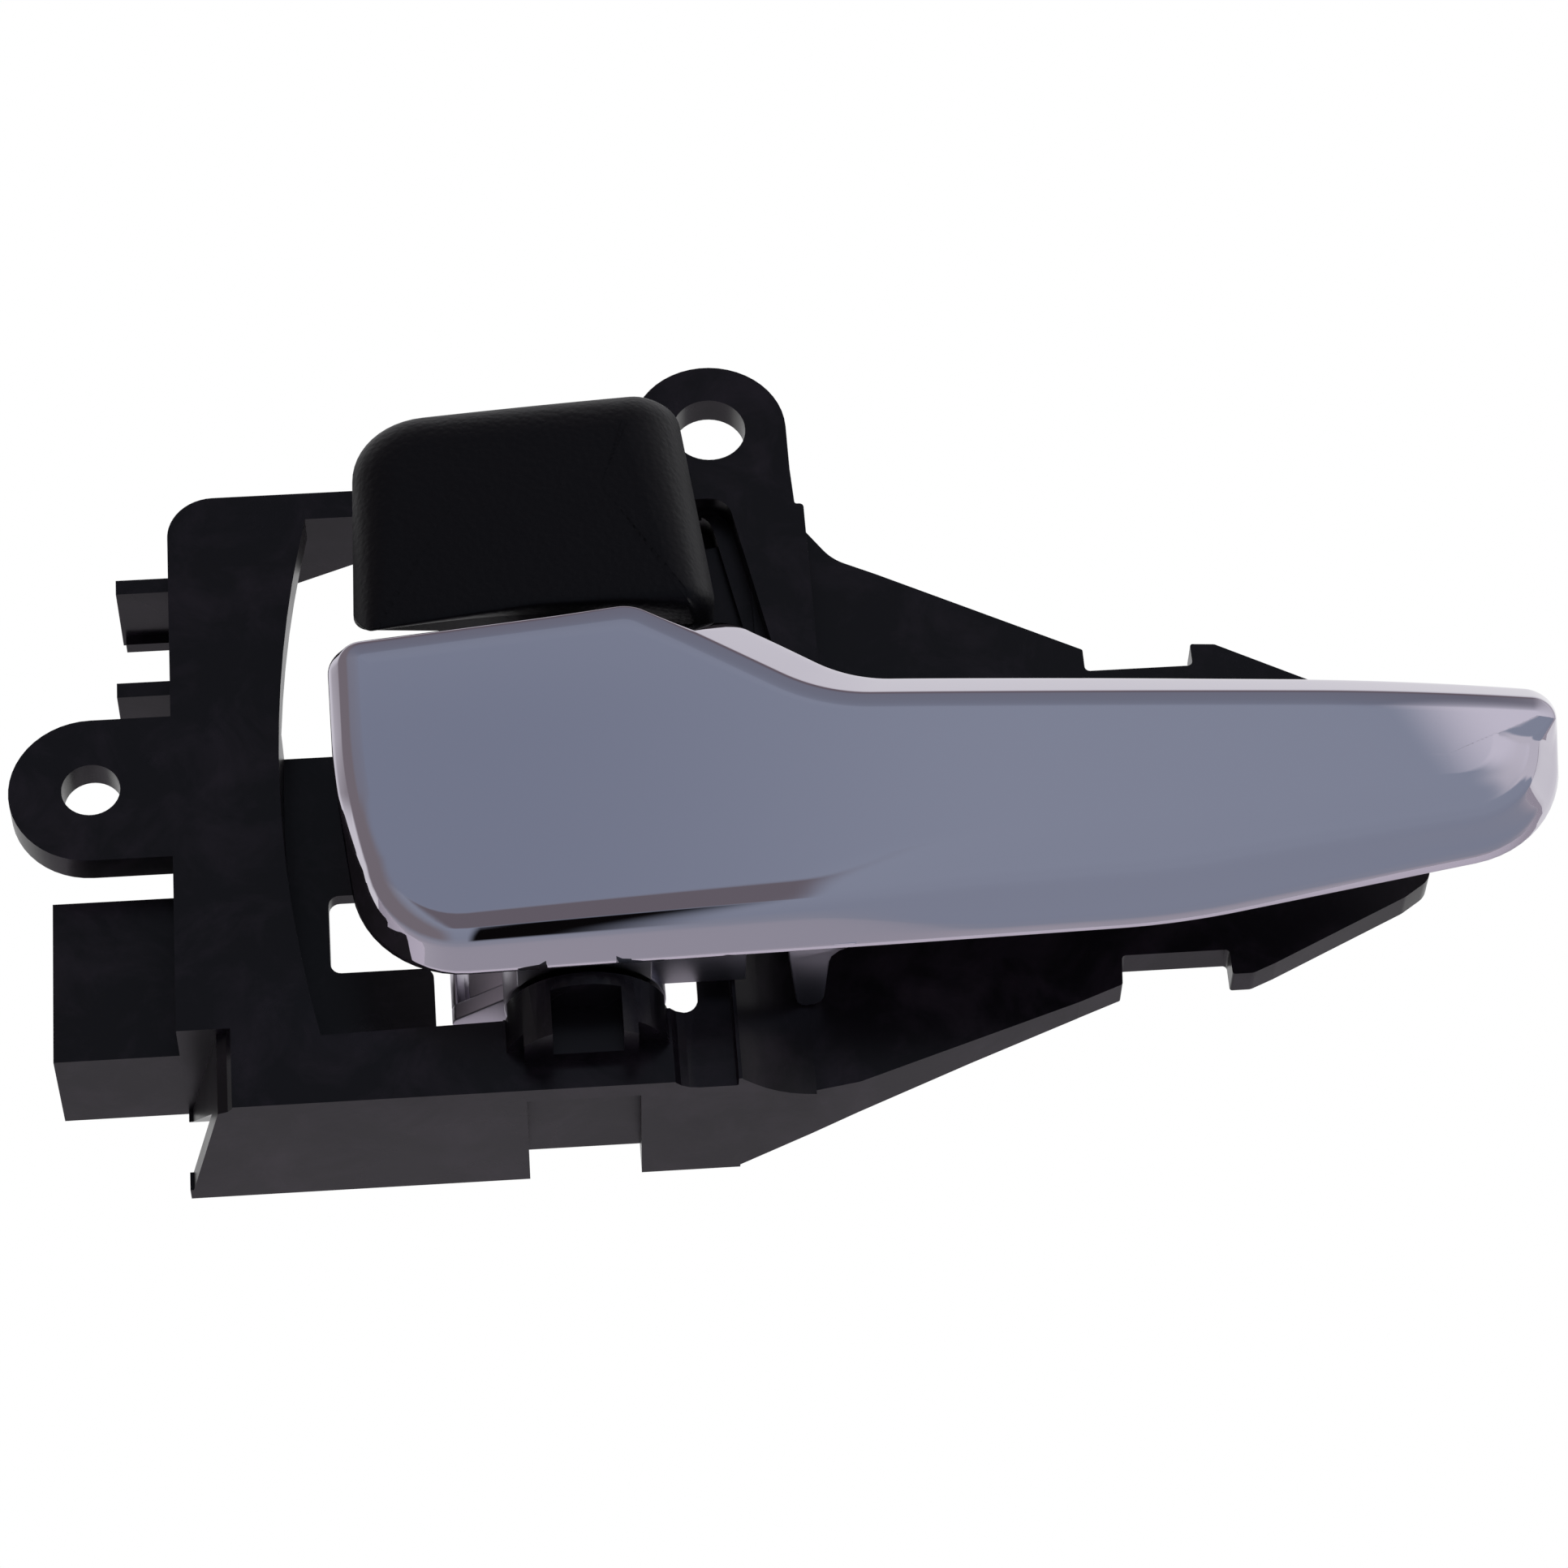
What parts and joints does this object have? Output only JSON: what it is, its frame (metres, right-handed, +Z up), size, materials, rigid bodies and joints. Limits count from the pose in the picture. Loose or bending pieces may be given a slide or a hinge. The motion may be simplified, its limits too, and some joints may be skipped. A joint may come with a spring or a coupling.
{
  "type": "car interior door handle",
  "caption": "Inside door release handle for a left front door: plated pull lever and grained lock knob on one upright pin in a black moulded housing with two screw ears and cable holders",
  "frame": {"origin": "centre of the left screw hole on the front face of its ear", "axes": "+X along the lever towards its free end, +Y back into the door, +Z up along the pivot pin"},
  "size_m": [0.1705, 0.0381, 0.0941],
  "materials": {
    "housing_plastic": "black glass-filled nylon, faint moulded sheen",
    "lever_plating": "satin chrome plating",
    "bush_acetal": "dark acetal, as moulded",
    "knob_plastic": "black polypropylene with a fine leather grain",
    "carrier_plastic": "black acetal, as moulded",
    "pin_steel": "drawn steel",
    "spring_steel": "spring steel wire and strip"
  },
  "bodies": {
    "case": {"housing": "housing_plastic", "pivot_pin": "pin_steel", "return_spring": "spring_steel", "detent_spring": "spring_steel"},
    "lever": {"lever": "lever_plating", "lower_bush": "bush_acetal", "upper_bush": "bush_acetal"},
    "knob": {"lock_knob": "knob_plastic", "lock_carrier": "carrier_plastic"}
  },
  "joints": [
    {"name": "lever_pull", "type": "hinge", "parent": "case", "child": "lever", "pos_m": [0.053, 0.002, 0], "axis": [0, 0, -1], "range_deg": [0, 35], "stiffness_Nm_per_rad": 0.17, "springref_deg": -28.65, "deforming": ["return_spring"]},
    {"name": "lock_turn", "type": "hinge", "parent": "case", "child": "knob", "pos_m": [0.053, 0.002, 0], "axis": [0, 0, -1], "range_deg": [0, 18], "deforming": ["detent_spring"]}
  ]
}
